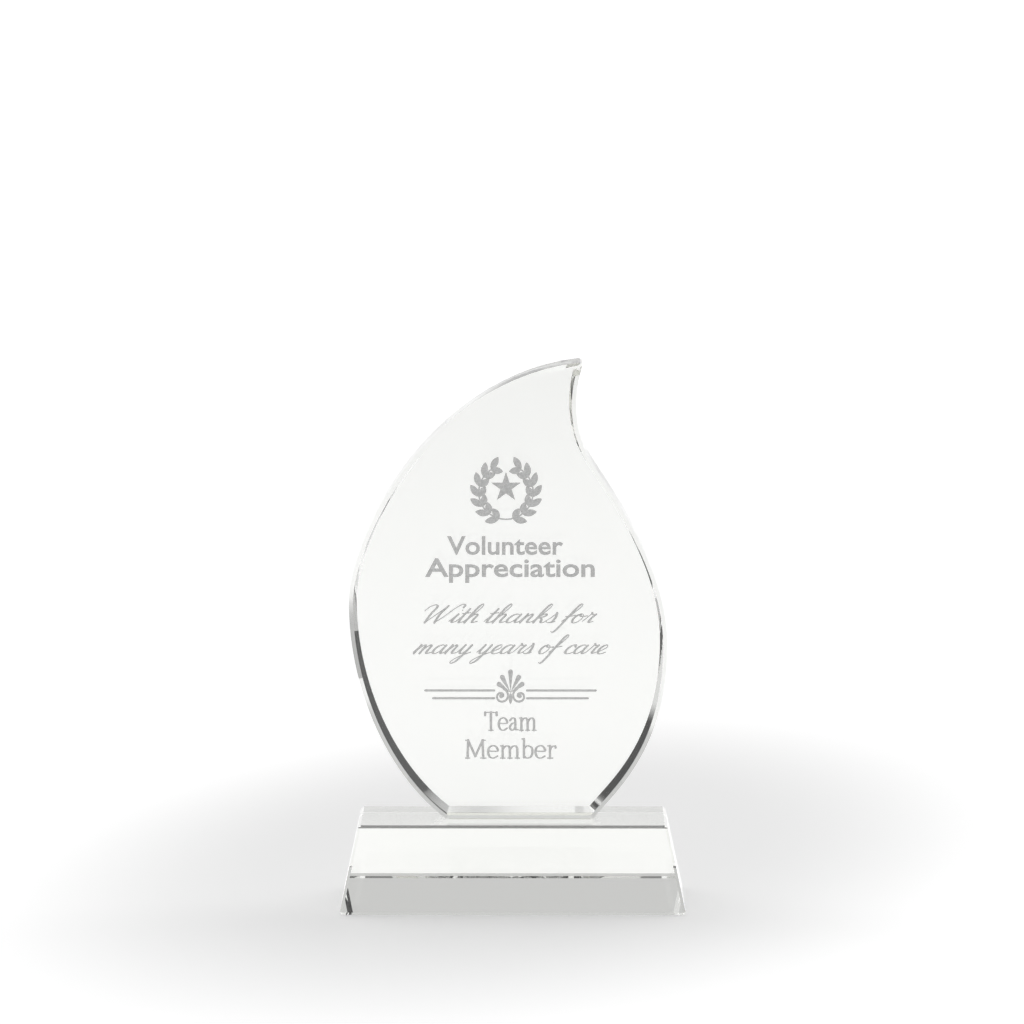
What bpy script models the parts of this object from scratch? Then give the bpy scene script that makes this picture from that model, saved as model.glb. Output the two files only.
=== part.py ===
"""A flame-shaped crystal award.

A thick plaque of clear optical crystal, cut to a leaning flame with a bevelled edge, stands upright
on a solid crystal block and is held to it by a thin film of clear adhesive.

Metres, +Z up. The origin is the centre of the base's underside. The engraved face looks along -Y.
"""
import math

import bmesh
import bpy

# Driving dimensions
PLAQUE_THICKNESS = 0.0254
FRONT_BEVEL = 0.0014
BACK_BEVEL = 0.0022
PLAQUE_SET_BACK = 0.004     # from the middle of the base's top
SPAN_STEPS = 26         # straight pieces in each long span of the outline
TIP_STEPS = 6           # straight pieces round the tip's small radius

BASE_WIDTH = 0.1143
BASE_DEPTH = 0.066
BASE_HEIGHT = 0.0285
BASE_TOP_WIDTH = 0.1021
BASE_TOP_DEPTH = 0.048
BASE_CHAMFER = 0.0009

BOND_THICKNESS = 0.0003
BOND_MARGIN = 0.0006    # how far the adhesive stays inside the plaque's foot
FACE_GAP = 0.0003       # clearance between faces that touch on the real object

BOND_Z = BASE_HEIGHT + FACE_GAP
PLAQUE_Z = BOND_Z + BOND_THICKNESS + FACE_GAP

MM = 0.001
# The flame's outline, clockwise from the foot's left corner, seen from the front. Each knot is
# x and height above the foot (mm), heading (degrees, 0 along +X, 90 up), and how far the curve
# keeps to that heading before and after the knot (mm).
FOOT_LEFT = (-22.1, 0.0, 143.6, 0.0, 23.8)
LEFT_WIDEST = (-54.4, 71.9, 90.0, 28.8, 23.1)
TIP_LEFT = (21.3, 151.9, 6.9, 48.5, 1.0)
TIP_RIGHT = (22.8, 150.5, -106.9, 1.0, 13.0)
NECK = (24.6, 121.7, -62.5, 7.0, 11.0)
RIGHT_WIDEST = (51.2, 57.9, -90.0, 28.5, 35.8)
FOOT_RIGHT = (26.6, 0.0, -126.9, 10.2, 0.0)
LEFT_SIDE = (FOOT_LEFT, LEFT_WIDEST, TIP_LEFT)
TIP = (TIP_LEFT, TIP_RIGHT)
RIGHT_SIDE = (TIP_RIGHT, NECK, RIGHT_WIDEST, FOOT_RIGHT)


def clear_scene():
    for obj in list(bpy.data.objects):
        bpy.data.objects.remove(obj, do_unlink=True)


def crystal(name, colour, roughness, ior):
    """A clear Principled material."""
    material = bpy.data.materials.new(name)
    material.use_nodes = True
    shader = material.node_tree.nodes["Principled BSDF"]
    shader.inputs["Base Color"].default_value = (*colour, 1.0)
    shader.inputs["Metallic"].default_value = 0.0
    shader.inputs["Roughness"].default_value = roughness
    shader.inputs["IOR"].default_value = ior
    shader.inputs["Transmission Weight"].default_value = 1.0
    return material


def add_object(name, bm, material, location, parent):
    """A named object from a bmesh, with sharp cut edges and smooth curves."""
    bmesh.ops.recalc_face_normals(bm, faces=bm.faces)
    mesh = bpy.data.meshes.new(name)
    bm.to_mesh(mesh)
    bm.free()
    mesh.shade_smooth()
    mesh.set_sharp_from_angle(angle=math.radians(20))
    mesh.materials.append(material)
    obj = bpy.data.objects.new(name, mesh)
    obj.location = location
    obj.parent = parent
    bpy.context.collection.objects.link(obj)
    return obj


def span(start, end, steps):
    """Points in metres along the curve from one knot to the next, without its last point."""
    x0, z0, heading0, _, reach0 = start
    x3, z3, heading3, reach3, _ = end
    x1 = x0 + reach0 * math.cos(math.radians(heading0))
    z1 = z0 + reach0 * math.sin(math.radians(heading0))
    x2 = x3 - reach3 * math.cos(math.radians(heading3))
    z2 = z3 - reach3 * math.sin(math.radians(heading3))
    points = []
    for i in range(steps):
        t = i / steps
        s = 1.0 - t
        x = s**3 * x0 + 3 * s * s * t * x1 + 3 * s * t * t * x2 + t**3 * x3
        z = s**3 * z0 + 3 * s * s * t * z1 + 3 * s * t * t * z2 + t**3 * z3
        points.append((x * MM, z * MM))
    return points


def side(knots, steps):
    """Points along several spans, with the last knot."""
    points = []
    for start, end in zip(knots, knots[1:]):
        points += span(start, end, steps)
    points.append((knots[-1][0] * MM, knots[-1][1] * MM))
    return points


def shifted_in(points, distance):
    """The same points, each moved to the right of the way the line runs, which is the glass side."""
    moved = []
    last = len(points) - 1
    for i, (x, z) in enumerate(points):
        ahead = points[min(i + 1, last)]
        behind = points[max(i - 1, 0)]
        along_x = ahead[0] - behind[0]
        along_z = ahead[1] - behind[1]
        length = math.hypot(along_x, along_z)
        moved.append((x + distance * along_z / length, z - distance * along_x / length))
    return moved


def crossing(a, b, c, d):
    """Where the line a-b meets the line c-d, with how far along each it lies, or None."""
    along_x, along_z = b[0] - a[0], b[1] - a[1]
    other_x, other_z = d[0] - c[0], d[1] - c[1]
    turn = along_x * other_z - along_z * other_x
    if abs(turn) < 1e-15:
        return None
    first = ((c[0] - a[0]) * other_z - (c[1] - a[1]) * other_x) / turn
    second = ((c[0] - a[0]) * along_z - (c[1] - a[1]) * along_x) / turn
    return (a[0] + first * along_x, a[1] + first * along_z), first, second


def meeting(first_line, second_line):
    """The point where two lines of points cross, and the indexes of the pieces that meet there."""
    for i, (a, b) in enumerate(zip(first_line, first_line[1:])):
        for j, (c, d) in enumerate(zip(second_line, second_line[1:])):
            found = crossing(a, b, c, d)
            if found and 0 <= found[1] <= 1 and 0 <= found[2] <= 1:
                return found[0], i, j
    raise ValueError("the bevel's edges don't meet")


def flame_outlines(bevel):
    """The flame's outline, and the edge of its flat face, one point of it for each outline point.

    The flat face's edge runs the bevel's width inside the outline. At the tip and at the foot's
    corners, where two bevels meet in a mitre, several outline points share one corner of the face.
    """
    left = side(LEFT_SIDE, SPAN_STEPS)
    tip = span(*TIP, TIP_STEPS)[1:]
    right = side(RIGHT_SIDE, SPAN_STEPS)
    left_in = shifted_in(left, bevel)
    right_in = shifted_in(right, bevel)
    foot_in = [(left[0][0] * 2, bevel), (right[-1][0] * 2, bevel)]
    left_corner, left_first, _ = meeting(left_in, foot_in)
    right_corner, right_last, _ = meeting(right_in, foot_in)
    tip_corner, left_last, right_first = meeting(left_in[len(left_in) // 2:], right_in)
    left_last += len(left_in) // 2
    outline = left + tip + right
    face = [left_corner] * (left_first + 1) + left_in[left_first + 1:left_last + 1]
    face += [tip_corner] * (len(left) - len(face) + len(tip) + right_first + 1)
    face += right_in[right_first + 1:right_last + 1]
    face += [right_corner] * (len(outline) - len(face))
    return outline, face


def bevelled_plate(outline, front, front_bevel, back, back_bevel, thickness):
    """A plate with a flat face each side, a bevel round each, and a wall between the bevels."""
    bm = bmesh.new()
    half = thickness / 2
    rings = []
    layers = ((front, -half), (outline, front_bevel - half), (outline, half - back_bevel), (back, half))
    for points, y in layers:
        known = {}
        for point in points:
            if point not in known:
                known[point] = bm.verts.new((point[0], y, point[1]))
        rings.append([known[point] for point in points])
    count = len(outline)
    for ring, following in zip(rings, rings[1:]):
        for i in range(count):
            j = (i + 1) % count
            corners = [ring[i], ring[j], following[j], following[i]]
            bm.faces.new(list(dict.fromkeys(corners)))
    bm.faces.new(list(dict.fromkeys(rings[0])))
    bm.faces.new(list(dict.fromkeys(rings[-1])))
    return bm


def flame_plaque(parent):
    outline, front = flame_outlines(FRONT_BEVEL)
    back = flame_outlines(BACK_BEVEL)[1]
    bm = bevelled_plate(outline, front, FRONT_BEVEL, back, BACK_BEVEL, PLAQUE_THICKNESS)
    material = crystal("plaque_crystal", (0.97, 0.98, 0.97), 0.0, 1.52)
    return add_object("flame_plaque", bm, material, (0.0, PLAQUE_SET_BACK, PLAQUE_Z), parent)


def frustum(bottom_width, bottom_depth, top_width, top_depth, height):
    """A block with a flat bottom at zero, whose four sides lean in evenly to its top."""
    bm = bmesh.new()
    corners = ((-0.5, -0.5), (0.5, -0.5), (0.5, 0.5), (-0.5, 0.5))
    bottom = [bm.verts.new((x * bottom_width, y * bottom_depth, 0.0)) for x, y in corners]
    top = [bm.verts.new((x * top_width, y * top_depth, height)) for x, y in corners]
    bm.faces.new(bottom)
    bm.faces.new(top)
    for i in range(4):
        j = (i + 1) % 4
        bm.faces.new((bottom[i], bottom[j], top[j], top[i]))
    return bm


def base_block(parent):
    bm = frustum(BASE_WIDTH, BASE_DEPTH, BASE_TOP_WIDTH, BASE_TOP_DEPTH, BASE_HEIGHT)
    bmesh.ops.recalc_face_normals(bm, faces=bm.faces)
    bmesh.ops.bevel(bm, geom=bm.edges, offset=BASE_CHAMFER, segments=1, affect="EDGES")
    material = crystal("base_crystal", (0.96, 0.97, 0.96), 0.0, 1.52)
    return add_object("base_block", bm, material, (0.0, 0.0, 0.0), parent)


def bond_film(parent):
    """The adhesive between the plaque's flat foot and the base, set in from the foot's edges."""
    left = FOOT_LEFT[0] * MM + BOND_MARGIN
    right = FOOT_RIGHT[0] * MM - BOND_MARGIN
    depth = PLAQUE_THICKNESS - FRONT_BEVEL - BACK_BEVEL - 2 * BOND_MARGIN
    middle = PLAQUE_SET_BACK + (FRONT_BEVEL - BACK_BEVEL) / 2
    bm = frustum(right - left, depth, right - left, depth, BOND_THICKNESS)
    material = crystal("bond_adhesive", (0.98, 0.98, 0.97), 0.02, 1.50)
    return add_object("bond_film", bm, material, ((left + right) / 2, middle, BOND_Z), parent)


def main():
    clear_scene()
    award = bpy.data.objects.new("crystal_award", None)
    bpy.context.collection.objects.link(award)
    base_block(award)
    bond_film(award)
    flame_plaque(award)


main()
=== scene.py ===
"""Looks of an engraved crystal flame award: a bevelled plaque bonded to a solid crystal base.

Metres, +Z up. The engraved face looks along -Y. Sizes in the engraving's artwork are millimetres.
"""
import math

import bmesh
import bpy
from bpy.props import FloatProperty, FloatVectorProperty, PointerProperty, StringProperty
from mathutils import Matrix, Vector
from mathutils.bvhtree import BVHTree
from mathutils.geometry import delaunay_2d_cdt


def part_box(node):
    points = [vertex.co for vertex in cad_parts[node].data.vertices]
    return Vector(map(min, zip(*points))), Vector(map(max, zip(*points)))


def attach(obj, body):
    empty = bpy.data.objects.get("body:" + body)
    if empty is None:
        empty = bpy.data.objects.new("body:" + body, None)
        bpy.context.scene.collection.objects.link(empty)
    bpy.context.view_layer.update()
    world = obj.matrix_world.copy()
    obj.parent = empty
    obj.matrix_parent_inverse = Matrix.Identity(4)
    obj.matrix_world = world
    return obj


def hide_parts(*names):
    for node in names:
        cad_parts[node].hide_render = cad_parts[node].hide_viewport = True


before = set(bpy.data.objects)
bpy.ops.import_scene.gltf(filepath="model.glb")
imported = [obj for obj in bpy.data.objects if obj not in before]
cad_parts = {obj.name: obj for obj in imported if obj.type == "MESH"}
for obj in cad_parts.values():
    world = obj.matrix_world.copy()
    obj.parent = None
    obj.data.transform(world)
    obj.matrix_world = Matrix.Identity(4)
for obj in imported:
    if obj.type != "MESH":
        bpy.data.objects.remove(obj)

bl_info = {
    "name": "Crystal Flame Award",
    "version": (1, 0, 0),
    "blender": (4, 5, 0),
    "location": "View3D > Sidebar > Award",
    "description": "Makes an engraved crystal flame award on its base, and the studio it stands in",
    "category": "Add Mesh",
}

MM = 0.001
BODY = "root"
CRYSTAL_INDEX = 1.52
AIR_INDEX = 1.0
CRYSTAL_BOUNCES = 32
WELD_DISTANCE = 0.000001
FLAT_TOLERANCE = 0.00001
SHARP_ANGLE = 25.0
FILM_SPREAD = 0.0016
FILM_HEIGHT = 0.0004
FILM_CORNER = 0.001
ARRIS_START, ARRIS_END = 0.0001, 0.001
FLOOR_GAP = 0.0002
FLOOR_REACH = 30.0
CAMERA_PLACE = (0.0095, -2.35, 0.3558)
CAMERA_TILT, CAMERA_TURN = 5.483, 0.24
FOCAL_LENGTH, SENSOR_WIDTH = 250.0, 36.0
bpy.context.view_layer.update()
PLAQUE_LOW, PLAQUE_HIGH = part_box("flame_plaque")
FILM_LOW, FILM_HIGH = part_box("bond_film")
BASE_LOW, BASE_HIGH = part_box("base_block")
GLUE_LINE = BASE_HIGH.z


# ---------------------------------------------------------------- node expressions

class Wire:
    """An output socket. Arithmetic on it adds Math nodes to its tree."""

    def __init__(self, shader, socket):
        self.shader = shader
        self.socket = socket

    def maths(self, operation, *others):
        values = dict(enumerate((self, *others)))
        return self.shader.node("ShaderNodeMath", {"operation": operation}, values)

    def __add__(self, other):
        return self.maths("ADD", other)

    __radd__ = __add__

    def __mul__(self, other):
        return self.maths("MULTIPLY", other)

    __rmul__ = __mul__

    def __sub__(self, other):
        return self.maths("SUBTRACT", other)

    def __rsub__(self, other):
        return (self * -1.0) + other

    def __pow__(self, other):
        return self.maths("POWER", other)

    def larger(self, other):
        return self.maths("MAXIMUM", other)

    def rise(self, low, high):
        """0 below low, 1 above high, and a smooth step between."""
        settings = {"interpolation_type": "SMOOTHSTEP", "clamp": True}
        values = {"Value": self, "From Min": low, "From Max": high}
        return self.shader.node("ShaderNodeMapRange", settings, values)


class Shader:
    """Adds nodes to one material's or world's tree."""

    def __init__(self, owner):
        owner.use_nodes = True
        self.tree = owner.node_tree
        self.tree.nodes.clear()

    def node(self, kind, settings=None, values=None, output=0):
        """A node with its settings, then its sockets' values or links, as one of its outputs."""
        node = self.tree.nodes.new(kind)
        for name, value in (settings or {}).items():
            setattr(node, name, value)
        for name, value in (values or {}).items():
            if isinstance(value, Wire):
                self.tree.links.new(value.socket, node.inputs[name])
            else:
                node.inputs[name].default_value = value
        return Wire(self, node.outputs[output]) if node.outputs else None

    def surface(self, values):
        """A Principled surface with these socket values, as the tree's result."""
        shader = self.node("ShaderNodeBsdfPrincipled", None, values)
        self.node("ShaderNodeOutputMaterial", None, {"Surface": shader})

    def place(self):
        return self.node("ShaderNodeTexCoord", output="Object")

    def split(self, vector):
        """The vector's x, y and z."""
        first = self.node("ShaderNodeSeparateXYZ", None, {0: vector})
        return [Wire(self, socket) for socket in first.socket.node.outputs]

    def colour(self, red, green, blue):
        return self.node("ShaderNodeCombineColor", None, {0: red, 1: green, 2: blue})

    def noise(self, place, scale, detail):
        values = {"Vector": place, "Scale": scale, "Detail": detail}
        return self.node("ShaderNodeTexNoise", None, values)

    def bump(self, height, strength, distance):
        values = {"Height": height, "Strength": strength, "Distance": distance}
        return self.node("ShaderNodeBump", None, values)


class Finish:
    """Makes the award's materials."""

    @staticmethod
    def blank(name):
        material = bpy.data.materials.new(name)
        return material, Shader(material)

    @staticmethod
    def polished(name, tint):
        """Clear crystal: faint hand smears in its gloss, and the slow ripple that a felt wheel leaves."""
        material, shader = Finish.blank(name)
        place = shader.place()
        smears = shader.noise(place, 42.0, 3.0).rise(0.52, 0.8)
        ripple = shader.noise(place, 70.0, 1.0)
        shader.surface({
            "Base Color": (*tint, 1.0),
            "Roughness": smears * 0.012,
            "IOR": CRYSTAL_INDEX,
            "Transmission Weight": 1.0,
            "Normal": shader.bump(ripple, 0.007, 0.00002),
        })
        return material

    @staticmethod
    def sandblasted(name, tint):
        """The engraving's floor and sides: an even grey frost, with the speckle that grit leaves."""
        material, shader = Finish.blank(name)
        place = shader.place()
        grit = shader.noise(place, 2600.0, 4.0)
        worn = grit.rise(0.35, 0.65) * 0.5 + 0.75
        shader.surface({
            "Base Color": shader.colour(*(worn * part for part in tint)),
            "Roughness": grit * 0.25 + 0.42,
            "IOR": CRYSTAL_INDEX,
            "Transmission Weight": 1.0,
            "Normal": shader.bump(grit, 0.6, 0.00008),
        })
        return material

    @staticmethod
    def painted_dark_arris(name, tint):
        """A narrow edge ground flat and not quite polished, which roughens its gloss. Its near-black tint
        is painted shade: it paints the dark line along the edge.
        """
        material, shader = Finish.blank(name)
        scratches = shader.noise(shader.place(), 1400.0, 3.0)
        shader.surface({
            "Base Color": (*tint, 1.0),
            "Roughness": scratches * 0.2 + 0.1,
            "IOR": CRYSTAL_INDEX,
            "Transmission Weight": 1.0,
        })
        return material

    @staticmethod
    def adhesive(name, tint):
        """Cured adhesive that only tints what is seen through it, and doesn't bend light."""
        material, shader = Finish.blank(name)
        haze = shader.noise(shader.place(), 900.0, 2.0).rise(0.6, 0.8)
        shader.surface({
            "Base Color": (*tint, 1.0),
            "Roughness": haze * 0.02,
            "IOR": AIR_INDEX,
            "Transmission Weight": 1.0,
        })
        return material

    @staticmethod
    def paper(name, settings):
        """Glowing white paper, whose glow is painted light, as the paper is no lamp. What is seen directly
        has a painted soft shade round the award. What the crystal gets from it is painted brighter close
        to the award and painted darker to its right.
        """
        material, shader = Finish.blank(name)
        place = shader.place()
        x, y, _ = shader.split(place)
        back = y - settings.shade_back
        across = (x - back * settings.shade_lean) * (1.0 / settings.shade_width)
        along = back * (1.0 / settings.shade_depth)
        far = (across * across + along * along) ** 0.5
        fibre = shader.noise(place, 900.0, 4.0)
        seen = shader.node("ShaderNodeLightPath", output="Is Camera Ray")
        through = 1.0 - seen
        # Painted shadow: a soft elliptical shade round the award, seen directly only.
        shade = (1.0 - far.rise(0.42, 1.15)) * seen * (1.0 - settings.shade_tone)
        # Painted shade: the paper is darker to the award's right, for what the crystal sees only.
        ends = x.rise(0.18, 0.45) * through * 0.5
        # The paper's colour, darkened by the painted shadow and the painted shade to the right.
        tone = (1.0 - shade) * (1.0 - ends)
        # Painted light: the paper is brighter close to the award, for what the crystal sees only.
        near = 1.0 - ((x * x + y * y) ** 0.5).rise(0.4, 2.8)
        # Painted light: the paper's glow, carrying the painted shade and the painted near light.
        glow = tone * (near * through * settings.near_glow + 1.0)
        shader.surface({
            "Base Color": shader.colour(tone, tone, tone),
            "Roughness": 0.6,
            "Specular IOR Level": 0.0,
            "Emission Color": shader.colour(glow, glow, glow),
            "Emission Strength": settings.painted_paper_glow,
            "Coat Weight": (1.0 - far.rise(0.2, 1.0)) * settings.paper_gloss,
            "Coat Roughness": 0.12,
            "Normal": shader.bump(fibre, 0.05, 0.0001),
        })
        return material


# ---------------------------------------------------------------- artwork, in millimetres

def disc(centre, radius, sides=16):
    return [(centre[0] + radius * math.cos(math.tau * i / sides),
             centre[1] + radius * math.sin(math.tau * i / sides)) for i in range(sides)]


def smooth_line(points, steps=7):
    """A smooth curve through the points, as closely spaced points."""
    line = []
    ends = [points[0], *points, points[-1]]
    for before, start, end, after in zip(ends, ends[1:], ends[2:], ends[3:]):
        for i in range(steps):
            t = i / steps
            line.append(tuple(
                0.5 * (2 * b + (c - a) * t + (2 * a - 5 * b + 4 * c - d) * t * t
                       + (3 * b - a - 3 * c + d) * t ** 3)
                for a, b, c, d in zip(before, start, end, after)))
    line.append(points[-1])
    return line


def pen_stroke(line, pen):
    """A stroke's shapes: a strip of four-sided pieces as wide as the pen makes it, with round ends."""
    count = len(line)
    left, right, widths = [], [], []
    for i, (x, z) in enumerate(line):
        ahead = line[min(i + 1, count - 1)]
        behind = line[max(i - 1, 0)]
        along_x, along_z = ahead[0] - behind[0], ahead[1] - behind[1]
        length = math.hypot(along_x, along_z) or 1.0
        half = pen(along_x / length, along_z / length) / 2
        left.append((x - half * along_z / length, z + half * along_x / length))
        right.append((x + half * along_z / length, z - half * along_x / length))
        widths.append(half)
    shapes = [[left[i], right[i], right[i + 1], left[i + 1]] for i in range(count - 1)]
    shapes += [disc(line[0], widths[0], 10), disc(line[-1], widths[-1], 10)]
    return shapes


def pointed_pen(thin, thick):
    """A pen that presses as it comes down the page."""
    return lambda along_x, along_z: thin + (thick - thin) * max(0.0, -along_z) ** 1.5


def broad_pen(thin, thick):
    """A pen whose upright strokes are thick and whose level ones are thin."""
    return lambda along_x, along_z: thin + (thick - thin) * abs(along_z) ** 1.5


def round_pen(width):
    return lambda along_x, along_z: width


def petal(root, tip, width, sides=10):
    """A slender pointed leaf from root to tip."""
    along_x, along_z = tip[0] - root[0], tip[1] - root[1]
    length = math.hypot(along_x, along_z)
    across_x, across_z = -along_z / length, along_x / length
    near, far = [], []
    for i in range(sides + 1):
        t = i / sides
        swell = width / 2 * math.sin(math.pi * t) ** 0.8 if 0 < i < sides else 0.0
        x, z = root[0] + along_x * t, root[1] + along_z * t
        near.append((x - across_x * swell, z - across_z * swell))
        far.append((x + across_x * swell, z + across_z * swell))
    return near + far[-2:0:-1]


def club(root, tip, width, sides=8):
    """A petal that is a point at its root and round at its tip."""
    along_x, along_z = tip[0] - root[0], tip[1] - root[1]
    length = math.hypot(along_x, along_z)
    heading = math.atan2(along_z, along_x)
    radius = width / 2
    centre = (tip[0] - along_x / length * radius, tip[1] - along_z / length * radius)
    points = [root]
    for i in range(sides + 1):
        turn = heading - math.pi / 2 + math.pi * i / sides
        points.append((centre[0] + radius * math.cos(turn), centre[1] + radius * math.sin(turn)))
    return points


# Letters as pen strokes through a few points, for a lower-case height of 1: (advance, strokes).
SCRIPT = {
    "W": (1.95, [[(-0.35, 1.35), (-0.2, 1.85), (0.1, 2.05), (0.32, 1.8), (0.26, 1.0), (0.3, 0.0)],
                 [(0.3, 0.0), (0.62, 0.8), (1.05, 1.95)],
                 [(1.05, 1.95), (0.92, 0.9), (1.0, 0.0)],
                 [(1.0, 0.0), (1.35, 0.75), (1.65, 1.6), (1.95, 2.1), (2.2, 2.0), (2.2, 1.75)]]),
    "a": (1.0, [[(0.7, 0.84), (0.5, 1.0), (0.22, 0.84), (0.08, 0.42), (0.18, 0.04), (0.42, 0.04),
                 (0.64, 0.42), (0.76, 0.96)],
                [(0.76, 0.96), (0.68, 0.4), (0.76, 0.02), (1.02, 0.16)]]),
    "c": (0.68, [[(0.0, 0.16), (0.08, 0.4), (0.3, 0.95), (0.5, 1.0), (0.56, 0.8)],
                 [(0.4, 1.0), (0.2, 0.86), (0.08, 0.42), (0.2, 0.03), (0.44, 0.0), (0.7, 0.16)]]),
    "e": (0.7, [[(0.0, 0.16), (0.3, 0.36), (0.56, 0.72), (0.46, 1.0), (0.22, 0.86), (0.1, 0.42),
                 (0.24, 0.02), (0.5, 0.0), (0.72, 0.16)]]),
    "f": (0.62, [[(0.0, 0.16), (0.3, 0.9), (0.56, 1.8), (0.5, 2.15), (0.34, 1.95), (0.24, 1.0),
                  (0.12, -0.5), (-0.02, -1.1), (-0.2, -1.0)],
                 [(0.0, 0.7), (0.3, 0.74), (0.64, 0.86)]]),
    "h": (0.94, [[(0.0, 0.16), (0.28, 0.9), (0.5, 1.8), (0.42, 2.15), (0.26, 1.9), (0.18, 1.2),
                  (0.12, 0.0)],
                 [(0.12, 0.0), (0.24, 0.6), (0.46, 0.98), (0.62, 0.85), (0.58, 0.3), (0.66, 0.02),
                  (0.96, 0.16)]]),
    "i": (0.5, [[(0.0, 0.16), (0.14, 0.56), (0.28, 1.0)],
                [(0.28, 1.0), (0.2, 0.4), (0.26, 0.02), (0.52, 0.16)],
                [(0.34, 1.42), (0.36, 1.46)]]),
    "k": (0.92, [[(0.0, 0.16), (0.28, 0.9), (0.5, 1.8), (0.42, 2.15), (0.26, 1.9), (0.18, 1.2),
                  (0.12, 0.0)],
                 [(0.14, 0.3), (0.32, 0.86), (0.58, 1.0), (0.6, 0.74), (0.26, 0.52)],
                 [(0.26, 0.52), (0.5, 0.44), (0.6, 0.1), (0.72, 0.0), (0.94, 0.16)]]),
    "m": (1.36, [[(0.0, 0.16), (0.12, 0.6), (0.22, 1.0)],
                 [(0.22, 1.0), (0.16, 0.5), (0.12, 0.0)],
                 [(0.12, 0.0), (0.26, 0.6), (0.46, 0.98), (0.58, 0.85), (0.54, 0.0)],
                 [(0.54, 0.0), (0.68, 0.6), (0.88, 0.98), (1.02, 0.85), (0.98, 0.3), (1.06, 0.02),
                  (1.38, 0.16)]]),
    "n": (0.94, [[(0.0, 0.16), (0.12, 0.6), (0.22, 1.0)],
                 [(0.22, 1.0), (0.16, 0.5), (0.12, 0.0)],
                 [(0.12, 0.0), (0.26, 0.6), (0.46, 0.98), (0.6, 0.85), (0.56, 0.3), (0.64, 0.02),
                  (0.96, 0.16)]]),
    "o": (0.84, [[(0.38, 1.0), (0.16, 0.84), (0.06, 0.4), (0.2, 0.02), (0.46, 0.04), (0.64, 0.44),
                  (0.56, 0.88), (0.36, 1.0), (0.4, 0.78), (0.62, 0.72), (0.88, 0.8)]]),
    "r": (0.74, [[(0.0, 0.16), (0.14, 0.62), (0.24, 1.1)],
                 [(0.24, 1.1), (0.36, 0.94), (0.6, 0.98)],
                 [(0.6, 0.98), (0.46, 0.5), (0.5, 0.04), (0.76, 0.16)]]),
    "s": (0.66, [[(0.0, 0.16), (0.2, 0.6), (0.36, 1.12)],
                 [(0.36, 1.12), (0.5, 0.6), (0.46, 0.12), (0.24, 0.0), (0.06, 0.14)],
                 [(0.24, 0.0), (0.46, 0.02), (0.68, 0.16)]]),
    "t": (0.56, [[(0.0, 0.16), (0.16, 0.7), (0.32, 1.6)],
                 [(0.32, 1.6), (0.22, 0.7), (0.24, 0.08), (0.36, 0.0), (0.58, 0.16)],
                 [(0.02, 1.04), (0.28, 1.08), (0.56, 1.16)]]),
    "y": (1.0, [[(0.0, 0.16), (0.14, 0.6), (0.26, 1.0)],
                [(0.26, 1.0), (0.18, 0.4), (0.28, 0.02), (0.48, 0.1), (0.66, 0.6), (0.74, 1.0)],
                [(0.74, 1.0), (0.62, 0.0), (0.42, -0.86), (0.14, -1.12), (0.06, -0.86), (0.4, -0.34),
                 (1.02, 0.16)]]),
    " ": (0.5, []),
}

# Upright letters with small feet, for a lower-case height of 1: (advance, curves, straight strokes).
SERIF = {
    "T": (1.16, [], [[(0.58, 1.42), (0.58, 0.0)], [(0.06, 1.42), (1.1, 1.42)], [(0.08, 1.42), (0.08, 1.2)],
                     [(1.08, 1.42), (1.08, 1.2)], [(0.38, 0.0), (0.78, 0.0)]]),
    "M": (1.66, [], [[(0.22, 0.0), (0.26, 1.42)], [(0.26, 1.42), (0.8, 0.14)], [(0.8, 0.14), (1.34, 1.42)],
                     [(1.34, 1.42), (1.4, 0.0)], [(0.06, 0.0), (0.4, 0.0)], [(1.2, 0.0), (1.6, 0.0)],
                     [(0.06, 1.42), (0.28, 1.42)], [(1.32, 1.42), (1.56, 1.42)]]),
    "a": (0.86, [[(0.14, 0.78), (0.34, 0.98), (0.56, 0.9), (0.6, 0.66)],
                 [(0.6, 0.6), (0.32, 0.52), (0.12, 0.26), (0.26, 0.02), (0.48, 0.08), (0.6, 0.28)],
                 [(0.6, 0.3), (0.64, 0.06), (0.84, 0.06)]], [[(0.6, 0.7), (0.6, 0.24)]]),
    "b": (1.0, [[(0.26, 0.78), (0.5, 0.98), (0.8, 0.84), (0.88, 0.48), (0.76, 0.12), (0.48, 0.0),
                 (0.26, 0.14)]],
          [[(0.24, 1.52), (0.24, 0.06)], [(0.08, 1.52), (0.26, 1.52)]]),
    "e": (0.94, [[(0.12, 0.56), (0.8, 0.56), (0.72, 0.88), (0.48, 0.99), (0.2, 0.84), (0.1, 0.48),
                  (0.22, 0.12), (0.5, 0.0), (0.82, 0.16)]], []),
    "m": (1.62, [[(0.28, 0.72), (0.46, 0.93), (0.68, 0.96), (0.8, 0.76)],
                 [(0.84, 0.72), (1.02, 0.93), (1.24, 0.96), (1.36, 0.76)]],
          [[(0.26, 0.97), (0.26, 0.0)], [(0.08, 0.97), (0.28, 0.97)], [(0.08, 0.0), (0.44, 0.0)],
           [(0.8, 0.78), (0.8, 0.0)], [(0.64, 0.0), (0.98, 0.0)],
           [(1.36, 0.78), (1.36, 0.0)], [(1.2, 0.0), (1.54, 0.0)]]),
    "r": (0.76, [[(0.28, 0.7), (0.44, 0.93), (0.68, 0.96)]],
          [[(0.26, 0.97), (0.26, 0.0)], [(0.08, 0.97), (0.28, 0.97)], [(0.08, 0.0), (0.48, 0.0)],
           [(0.66, 0.94), (0.68, 0.84)]]),
}


def fitted(shapes, centre, width, foot, tall, slant=0.0):
    """The shapes stretched to a width, centred on x, and upwards by their own scale from the foot."""
    slanted = [[(x + slant * z, z) for x, z in shape] for shape in shapes]
    low = min(x for shape in slanted for x, _ in shape)
    high = max(x for shape in slanted for x, _ in shape)
    scale = width / (high - low)
    middle = (low + high) / 2
    return [[((x - middle) * scale + centre, z * tall + foot) for x, z in shape] for shape in slanted]


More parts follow.
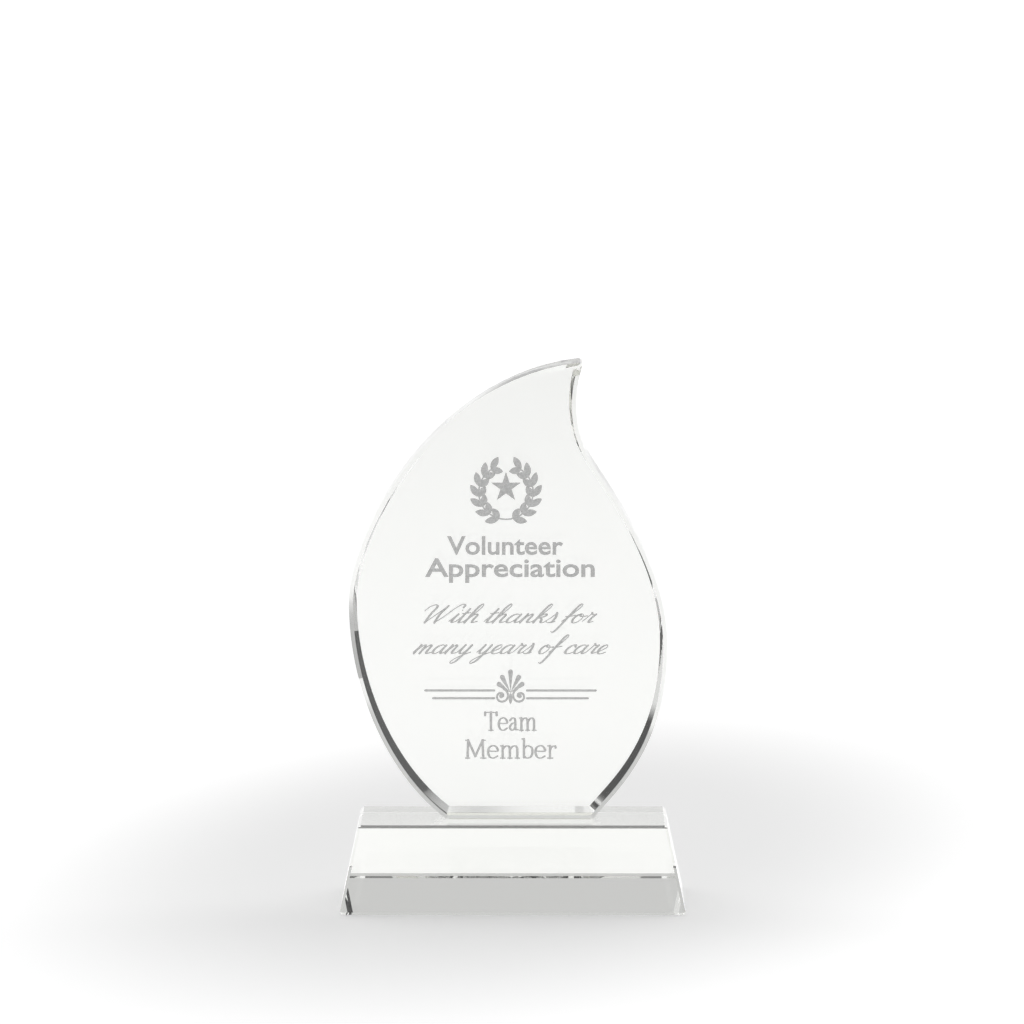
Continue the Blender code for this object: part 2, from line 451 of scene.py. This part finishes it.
def script_line(text, centre, width, foot, lower_height, slant=0.5):
    """A joined, sloping line of handwriting, written with a pointed pen."""
    pen_at = 0.0
    lines = []
    for letter in text:
        advance, strokes = SCRIPT[letter]
        lines += [smooth_line([(x + pen_at, z) for x, z in stroke]) for stroke in strokes]
        pen_at += advance
    lines = fitted(lines, centre, width, foot, lower_height, slant)
    pen = pointed_pen(0.32, 0.86)
    return [shape for line in lines for shape in pen_stroke(line, pen)]


def serif_line(text, centre, width, foot, lower_height):
    """A line of upright letters with thick stems, thin arches and small feet."""
    pen_at = 0.0
    lines = []
    for letter in text:
        advance, curves, straights = SERIF[letter]
        lines += [smooth_line([(x + pen_at, z) for x, z in curve]) for curve in curves]
        lines += [[(x + pen_at, z) for x, z in straight] for straight in straights]
        pen_at += advance
    lines = fitted(lines, centre, width, foot, lower_height)
    pen = broad_pen(0.4, 0.84)
    return [shape for line in lines for shape in pen_stroke(line, pen)]


def block_line(text, centre, width, foot, size, weight):
    """A line of plain, bold letters as flat pieces."""
    curve = bpy.data.curves.new("block_line", "FONT")
    curve.body = text
    curve.size = size
    curve.offset = weight
    curve.resolution_u = 4
    letters = bpy.data.objects.new("block_line", curve)
    bpy.context.collection.objects.link(letters)
    graph = bpy.context.evaluated_depsgraph_get()
    mesh = bpy.data.meshes.new_from_object(letters.evaluated_get(graph))
    shapes = [[tuple(mesh.vertices[i].co.xy) for i in face.vertices] for face in mesh.polygons]
    bpy.data.objects.remove(letters)
    bpy.data.curves.remove(curve)
    bpy.data.meshes.remove(mesh)
    return fitted(shapes, centre, width, foot, 1.0)


def star(centre, radius):
    """Five kites that meet in the middle of a five-pointed star."""
    inner = radius * math.sin(math.radians(18)) / math.sin(math.radians(54))
    shapes = []
    for i in range(5):
        angle = 90 + 72 * i
        corners = [centre]
        for reach, degrees in ((inner, angle - 36), (radius, angle), (inner, angle + 36)):
            turn = math.radians(degrees)
            corners.append((centre[0] + reach * math.cos(turn), centre[1] + reach * math.sin(turn)))
        shapes.append(corners)
    return shapes


def laurel(centre, radius, leaves=7, leaf=5.0, width=2.3):
    """Two sprigs of leaves that curve up from where their stems cross, open at the top."""
    shapes = []
    for hand in (-1, 1):
        stem = []
        for i in range(25):
            turn = math.radians(-100 + 160 * i / 24)
            stem.append((centre[0] + hand * radius * math.cos(turn), centre[1] + radius * math.sin(turn)))
        shapes += pen_stroke(stem, round_pen(0.5))
        for i in range(leaves):
            turn = math.radians(-76 + 132 * i / (leaves - 1))
            root = (radius * math.cos(turn), radius * math.sin(turn))
            for side, lean in ((1.0, 26.0), (-1.0, 42.0)):
                heading = turn + math.pi / 2 - side * math.radians(lean)
                reach = leaf * (1.0 if side > 0 else 0.82)
                tip = (root[0] + reach * math.cos(heading), root[1] + reach * math.sin(heading))
                shapes.append(petal((centre[0] + hand * root[0], centre[1] + root[1]),
                                    (centre[0] + hand * tip[0], centre[1] + tip[1]), width))
    return shapes


def palmette(centre, width):
    """Five round-ended petals over a pair of scrolls."""
    shapes = []
    unit = width / 2
    root = (centre[0], centre[1])
    for angle, reach in ((90, 1.42), (62, 1.22), (118, 1.22), (36, 1.02), (144, 1.02)):
        turn = math.radians(angle)
        tip = (root[0] + reach * unit * math.cos(turn), root[1] + reach * unit * math.sin(turn))
        shapes.append(club(root, tip, 0.3 * unit))
    for hand in (-1, 1):
        scroll = []
        for i in range(30):
            t = i / 29
            turn = math.radians(110 + 430 * t)
            reach = unit * (0.46 - 0.34 * t)
            scroll.append((centre[0] - hand * (0.56 * unit + reach * math.cos(turn)),
                           centre[1] - 0.22 * unit + reach * math.sin(turn)))
        shapes += pen_stroke(scroll, round_pen(0.13 * unit))
        shapes.append(disc((centre[0] - hand * 0.56 * unit, centre[1] - 0.22 * unit), 0.13 * unit))
    shapes.append(petal((centre[0], centre[1]), (centre[0], centre[1] - 0.72 * unit), 0.24 * unit))
    return shapes


def rule(start, end, height, width=0.72):
    return pen_stroke([(start, height), (end, height)], round_pen(width))


def artwork(settings):
    """All the engraved shapes: an emblem, three groups of lettering and a ruled ornament."""
    emblem, middle = -2.3, -0.8
    ornament, palmette_width = 5.4, 10.9
    block_size, block_weight = 8.6, 0.17
    script_height, serif_height = 2.9, 4.2
    shapes = star((emblem, 139.2), 5.2) + laurel((emblem, 137.6), 9.0)
    shapes += block_line(settings.title_first, -2.6, 38.4, 117.0, block_size, block_weight)
    shapes += block_line(settings.title_second, -1.0, 56.2, 109.6, block_size, block_weight)
    shapes += script_line("With thanks for", middle, 57.0, 94.2, script_height)
    shapes += script_line("many years of care", middle, 64.5, 83.9, script_height)
    for height, reach in ((71.6, 28.3), (69.0, 25.7)):
        shapes += rule(middle - reach, middle - ornament, height)
        shapes += rule(middle + ornament, middle + reach, height)
    shapes += palmette((middle, 70.9), palmette_width)
    shapes += serif_line("Team", middle, 17.0, 58.3, serif_height)
    shapes += serif_line("Member", middle, 29.9, 49.0, serif_height)
    return shapes


# ---------------------------------------------------------------- pieces

def counter_clockwise(points):
    area = sum(a[0] * b[1] - b[0] * a[1] for a, b in zip(points, points[1:] + points[:1]))
    return points if area > 0 else points[::-1]


def cad_plaque():
    """A copy of the plaque's solid with its foot on the base, as an editable mesh."""
    bm = bmesh.new()
    bm.from_mesh(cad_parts["flame_plaque"].data)
    bmesh.ops.remove_doubles(bm, verts=bm.verts, dist=WELD_DISTANCE)
    bmesh.ops.translate(bm, verts=bm.verts, vec=(0.0, 0.0, GLUE_LINE - PLAQUE_LOW.z))
    for face in bm.faces:
        face.smooth = not flat_at(face, 1, PLAQUE_LOW.y) and not flat_at(face, 1, PLAQUE_HIGH.y)
    return bm


def flat_at(face, axis, value):
    return all(abs(vert.co[axis] - value) < FLAT_TOLERANCE for vert in face.verts)


def rim_of(faces):
    """The corners round a flat patch of faces, in order."""
    patch = set(faces)
    steps = {}
    for face in faces:
        for loop in face.loops:
            if not any(other in patch for other in loop.edge.link_faces if other is not face):
                steps[loop.vert] = loop.link_loop_next.vert
    start = next(iter(steps))
    ring = [start]
    while steps[ring[-1]] is not start:
        ring.append(steps[ring[-1]])
    return ring


def remove_patch(bm, faces):
    """Delete faces and the edges between them, and keep the patch's rim."""
    inner = [edge for edge in {edge for face in faces for edge in face.edges}
             if all(face in faces for face in edge.link_faces)]
    bmesh.ops.delete(bm, geom=faces, context="FACES_ONLY")
    bmesh.ops.delete(bm, geom=inner, context="EDGES")


def foot_outline():
    """The plaque's flat foot, as corners seen from above."""
    bm = cad_plaque()
    foot = [face for face in bm.faces if flat_at(face, 2, GLUE_LINE)]
    corners = [(vert.co.x, vert.co.y) for vert in rim_of(foot)]
    bm.free()
    return counter_clockwise(corners)


def coverage(shapes):
    """A test of whether a place is inside any of the flat shapes."""
    points = [(x, z, 0.0) for shape in shapes for x, z in shape]
    polygons, first = [], 0
    for shape in shapes:
        polygons.append(list(range(first, first + len(shape))))
        first += len(shape)
    tree = BVHTree.FromPolygons(points, polygons)
    down = Vector((0.0, 0.0, -1.0))
    return lambda place: tree.ray_cast(Vector((place.x, place.y, 1.0)), down)[0] is not None


def sink_artwork(bm, shapes, depth):
    """Replace the plaque's flat front by one whose artwork is sunk into it, with its own material."""
    front = PLAQUE_LOW.y
    faces = [face for face in bm.faces if flat_at(face, 1, front)]
    ring = rim_of(faces)
    remove_patch(bm, faces)
    flat = counter_clockwise([(vert.co.x / MM, vert.co.z / MM) for vert in ring])
    by_place = {(vert.co.x / MM, vert.co.z / MM): vert for vert in ring}
    points, lines = [], []
    for shape in [flat, *shapes]:
        first, count = len(points), len(shape)
        points += shape
        lines += [(first + i, first + (i + 1) % count) for i in range(count)]
    spots, _, pieces, sources, _, _ = delaunay_2d_cdt([Vector(p) for p in points], lines, [], 0, 0.00001)
    covers_front, covers_art = coverage([flat]), coverage(shapes)
    level, sunk = [], []
    for piece in pieces:
        middle = sum((spots[i] for i in piece), Vector((0.0, 0.0))) / len(piece)
        if covers_front(middle):
            (sunk if covers_art(middle) else level).append(piece)

    def corner(index, y, made):
        if index not in made:
            rim = [i for i in sources[index] if i < len(flat)]
            if y == front and rim:
                made[index] = by_place[flat[rim[0]]]
            else:
                made[index] = bm.verts.new((spots[index].x * MM, y, spots[index].y * MM))
        return made[index]

    top, floor = {}, {}
    level_edges = set()
    for piece in level:
        bm.faces.new([corner(i, front, top) for i in piece])
        level_edges.update(zip(piece, piece[1:] + piece[:1]))
    for piece in sunk:
        bm.faces.new([corner(i, front + depth, floor) for i in piece]).material_index = 1
        for a, b in zip(piece, piece[1:] + piece[:1]):
            if (b, a) in level_edges:
                side = [corner(a, front, top), corner(b, front, top),
                        corner(b, front + depth, floor), corner(a, front + depth, floor)]
                bm.faces.new(side).material_index = 1


def finished(name, bm, materials, node):
    """A piece that stands for a CAD node: it takes the given materials, hangs from the body and hides the
    node.
    """
    sharp = math.radians(SHARP_ANGLE)
    for edge in bm.edges:
        edge.smooth = len(edge.link_faces) == 2 and edge.calc_face_angle(0.0) < sharp
    mesh = bpy.data.meshes.new(name)
    bm.to_mesh(mesh)
    bm.free()
    for material in materials:
        mesh.materials.append(material)
    piece = bpy.data.objects.new(name, mesh)
    bpy.context.collection.objects.link(piece)
    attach(piece, BODY)
    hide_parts(node)


class PlaqueSettings(bpy.types.PropertyGroup):
    tint: FloatVectorProperty(
        name="Crystal", description="Colour that the plaque's crystal gives to light",
        subtype="COLOR", size=3, min=0.0, max=1.0, default=(0.8, 0.805, 0.79))
    frost: FloatVectorProperty(
        name="Frost", description="Colour of the sandblasted engraving",
        subtype="COLOR", size=3, min=0.0, max=1.0, default=(0.24, 0.24, 0.24))
    depth: FloatProperty(
        name="Engraving depth", description="How far the artwork is sunk into the front",
        subtype="DISTANCE", unit="LENGTH", min=0.0001, max=0.002, default=0.0004, precision=5)
    title_first: StringProperty(
        name="Title, first line", description="Bold lettering under the emblem", default="Volunteer")
    title_second: StringProperty(
        name="Title, second line", description="Bold lettering under the first line",
        default="Appreciation")


class BaseSettings(bpy.types.PropertyGroup):
    tint: FloatVectorProperty(
        name="Crystal", description="Colour that the base's crystal gives to light",
        subtype="COLOR", size=3, min=0.0, max=1.0, default=(0.84, 0.845, 0.825))
    # Painted shade: a near-black tint that paints the dark line along the base's top front edge.
    painted_dark_arris: FloatVectorProperty(
        name="Arris", description="Colour of the ground edge along the base's top",
        subtype="COLOR", size=3, min=0.0, max=1.0, default=(0.1, 0.1, 0.1))
    adhesive: FloatVectorProperty(
        name="Adhesive", description="Colour of the cured adhesive",
        subtype="COLOR", size=3, min=0.0, max=1.0, default=(0.84, 0.84, 0.8))


class StudioSettings(bpy.types.PropertyGroup):
    # The shade on the paper is a painted shadow. It is painted into the paper's colour and glow round the
    # award, and is seen directly only.
    shade_width: FloatProperty(
        name="Shade width", description="Half the width of the shade on the paper",
        subtype="DISTANCE", unit="LENGTH", default=0.178)
    shade_depth: FloatProperty(
        name="Shade depth", description="Half the depth of the shade on the paper",
        subtype="DISTANCE", unit="LENGTH", default=0.42)
    shade_back: FloatProperty(
        name="Shade set back", description="How far behind the award the middle of the shade is",
        subtype="DISTANCE", unit="LENGTH", default=0.12)
    shade_lean: FloatProperty(
        name="Shade lean", description="How much the shade leans to the right with each unit of depth",
        default=0.13)
    shade_tone: FloatProperty(
        name="Shade tone", description="Lightness of the paper in the middle of the shade",
        subtype="FACTOR", min=0.0, max=1.0, default=0.76)
    # Painted light: the paper's glow. Nothing lights the paper from under it, and the glow carries the
    # painted shade and painted near light.
    painted_paper_glow: FloatProperty(
        name="Paper glow", description="Light that comes through the paper from the table under it",
        min=0.0, default=0.5)
    # Painted light: how much brighter the paper is painted close to the award, for what the crystal sees.
    near_glow: FloatProperty(
        name="Near glow", description="How much more light the crystal gets from the paper close to it",
        min=0.0, default=0.2)
    paper_gloss: FloatProperty(
        name="Paper gloss", description="How clearly the paper mirrors the award's foot",
        subtype="FACTOR", min=0.0, max=1.0, default=0.2)


class AWARD_OT_plaque(bpy.types.Operator):
    """Make the flame plaque, with its artwork sunk into the front"""
    bl_idname = "award.plaque"
    bl_label = "Flame plaque"

    def execute(self, context):
        settings = context.scene.award_plaque
        bm = cad_plaque()
        foot = [face for face in bm.faces if flat_at(face, 2, GLUE_LINE)]
        bmesh.ops.delete(bm, geom=foot, context="FACES")
        sink_artwork(bm, artwork(settings), settings.depth)
        crystal = Finish.polished("polished_plaque", settings.tint)
        frost = Finish.sandblasted("sandblasted_artwork", settings.frost)
        finished("engraved_flame", bm, [crystal, frost], "flame_plaque")
        return {"FINISHED"}


class AWARD_OT_bond(bpy.types.Operator):
    """Make the adhesive film between the plaque and the base"""
    bl_idname = "award.bond"
    bl_label = "Bond film"

    def execute(self, context):
        settings = context.scene.award_base
        bm = bmesh.new()
        bmesh.ops.create_cube(bm, size=1.0)
        size = FILM_HIGH - FILM_LOW
        middle = (FILM_HIGH + FILM_LOW) / 2
        spread = (size.x + FILM_SPREAD, size.y + FILM_SPREAD, FILM_HEIGHT)
        bmesh.ops.scale(bm, verts=bm.verts, vec=spread)
        bmesh.ops.translate(bm, verts=bm.verts, vec=(middle.x, middle.y, GLUE_LINE))
        rises = {edge: abs(edge.verts[0].co.z - edge.verts[1].co.z) for edge in bm.edges}
        upright = [edge for edge in bm.edges if rises[edge] > FLAT_TOLERANCE]
        bmesh.ops.bevel(bm, geom=upright, offset=FILM_CORNER, segments=4, affect="EDGES")
        adhesive = Finish.adhesive("cured_adhesive", settings.adhesive)
        finished("cured_bond", bm, [adhesive], "bond_film")
        return {"FINISHED"}


class AWARD_OT_base(bpy.types.Operator):
    """Make the base, open under the plaque's foot where the adhesive joins the two crystals"""
    bl_idname = "award.base"
    bl_label = "Base block"

    def execute(self, context):
        settings = context.scene.award_base
        bm = bmesh.new()
        bm.from_mesh(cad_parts["base_block"].data)
        bmesh.ops.remove_doubles(bm, verts=bm.verts, dist=WELD_DISTANCE)
        top = [face for face in bm.faces if flat_at(face, 2, GLUE_LINE)]
        ring = rim_of(top)
        remove_patch(bm, top)
        flat = counter_clockwise([(vert.co.x, vert.co.y) for vert in ring])
        by_place = {(vert.co.x, vert.co.y): vert for vert in ring}
        points = [Vector(point) for point in flat + foot_outline()]
        outlines = [list(range(len(flat))), list(range(len(flat), len(points)))]
        spots, _, pieces, sources, _, owners = delaunay_2d_cdt(points, [], outlines, 1, 1e-7)
        made = [by_place[flat[sources[i][0]]] if sources[i] and sources[i][0] < len(flat)
                else bm.verts.new((spot.x, spot.y, GLUE_LINE)) for i, spot in enumerate(spots)]
        for piece, owner in zip(pieces, owners):
            if 1 not in owner:
                bm.faces.new([made[i] for i in piece])
        for face in bm.faces:
            below_top = GLUE_LINE - face.calc_center_median().z
            # The top millimetre of the base's front takes the painted dark line.
            if ARRIS_START < below_top < ARRIS_END and -face.normal.y > abs(face.normal.x):
                face.material_index = 1
        crystal = Finish.polished("polished_base", settings.tint)
        painted_dark_arris = Finish.painted_dark_arris("ground_arris_painted_dark", settings.painted_dark_arris)
        finished("polished_block", bm, [crystal, painted_dark_arris], "base_block")
        return {"FINISHED"}


# ---------------------------------------------------------------- studio

def studio_light(shader):
    """How bright the studio is along each direction, as the crystal and the paper see it."""
    facing = shader.node("ShaderNodeTexCoord", output="Generated")
    x, y, z = shader.split(facing)
    wall_shade, front_light, left_light = 0.38, 0.5, 0.8
    full_light, dim_light = 1.04, 0.06
    behind = y.rise(0.1, 0.35)
    low_wall = 1.0 - z.rise(0.02, 0.05) * (1.0 - z.rise(0.3, 0.45)) * wall_shade
    overhead = z.rise(0.85, 0.95) * (1.0 - x.rise(0.15, 0.4)) * (1.0 - (x * -1.0).rise(0.15, 0.4))
    front = (y * -1.0).rise(0.6, 0.95) * front_light
    left = (x * -1.0).rise(0.3, 0.6) * (1.0 - z.rise(0.35, 0.5)) * left_light
    bright = (behind * low_wall).larger(overhead).larger(front).larger(left)
    return bright * full_light + dim_light


def studio_world(scene):
    """White where it is seen directly, and the studio's light and dark for all else."""
    world = bpy.data.worlds.new("studio")
    scene.world = world
    shader = Shader(world)
    white_colour = (1.0, 1.0, 1.0, 1.0)
    light_values = {"Color": white_colour, "Strength": studio_light(shader)}
    light = shader.node("ShaderNodeBackground", None, light_values)
    white = shader.node("ShaderNodeBackground", None, {"Color": white_colour, "Strength": 1.05})
    seen = shader.node("ShaderNodeLightPath", output="Is Camera Ray")
    mixed = shader.node("ShaderNodeMixShader", None, {0: seen, 1: light, 2: white})
    shader.node("ShaderNodeOutputWorld", None, {"Surface": mixed})


def paper_floor(settings):
    """A wide round sheet of paper, just under the base."""
    mesh = bpy.data.meshes.new("white_paper")
    bm = bmesh.new()
    bmesh.ops.create_circle(bm, cap_ends=True, segments=96, radius=FLOOR_REACH)
    bmesh.ops.translate(bm, verts=bm.verts, vec=(0.0, 0.0, BASE_LOW.z - FLOOR_GAP))
    bm.to_mesh(mesh)
    bm.free()
    mesh.materials.append(Finish.paper("white_paper", settings))
    floor = bpy.data.objects.new("white_paper", mesh)
    bpy.context.collection.objects.link(floor)


def camera(scene):
    """A long lens in front of the award and above it, tilted five and a half degrees down."""
    lens = bpy.data.cameras.new("camera")
    lens.sensor_width = SENSOR_WIDTH
    lens.lens = FOCAL_LENGTH
    lens.clip_end = 200.0
    view = bpy.data.objects.new("camera", lens)
    bpy.context.collection.objects.link(view)
    view.location = CAMERA_PLACE
    view.rotation_euler = (math.radians(90 - CAMERA_TILT), 0.0, math.radians(CAMERA_TURN))
    scene.camera = view


class AWARD_OT_stage(bpy.types.Operator):
    """Make the paper, the light and the camera"""
    bl_idname = "award.stage"
    bl_label = "Studio"

    def execute(self, context):
        scene = context.scene
        paper_floor(scene.award_studio)
        studio_world(scene)
        camera(scene)
        scene.view_settings.view_transform = "Standard"
        scene.cycles.max_bounces = CRYSTAL_BOUNCES
        scene.cycles.transmission_bounces = CRYSTAL_BOUNCES
        scene.cycles.glossy_bounces = CRYSTAL_BOUNCES // 2
        scene.cycles.use_denoising = True
        return {"FINISHED"}


class AWARD_PT_panel(bpy.types.Panel):
    """Lists the award's settings and its operators"""
    bl_label = "Crystal award"
    bl_space_type = "VIEW_3D"
    bl_region_type = "UI"
    bl_category = "Award"

    def draw(self, context):
        for settings in (context.scene.award_plaque, context.scene.award_base, context.scene.award_studio):
            for name in settings.bl_rna.properties.keys():
                if name not in {"name", "rna_type"}:
                    self.layout.prop(settings, name)
        for operator in OPERATORS:
            self.layout.operator(operator.bl_idname)


SETTINGS = {"award_plaque": PlaqueSettings, "award_base": BaseSettings, "award_studio": StudioSettings}
OPERATORS = (AWARD_OT_plaque, AWARD_OT_bond, AWARD_OT_base, AWARD_OT_stage)


def register():
    for kind in (*SETTINGS.values(), *OPERATORS, AWARD_PT_panel):
        bpy.utils.register_class(kind)
    for name, kind in SETTINGS.items():
        setattr(bpy.types.Scene, name, PointerProperty(type=kind))


def unregister():
    for name in SETTINGS:
        delattr(bpy.types.Scene, name)
    for kind in reversed((*SETTINGS.values(), *OPERATORS, AWARD_PT_panel)):
        bpy.utils.unregister_class(kind)


def main():
    register()
    bpy.ops.award.plaque()
    bpy.ops.award.bond()
    bpy.ops.award.base()
    bpy.ops.award.stage()


if __name__ == "__main__":
    main()
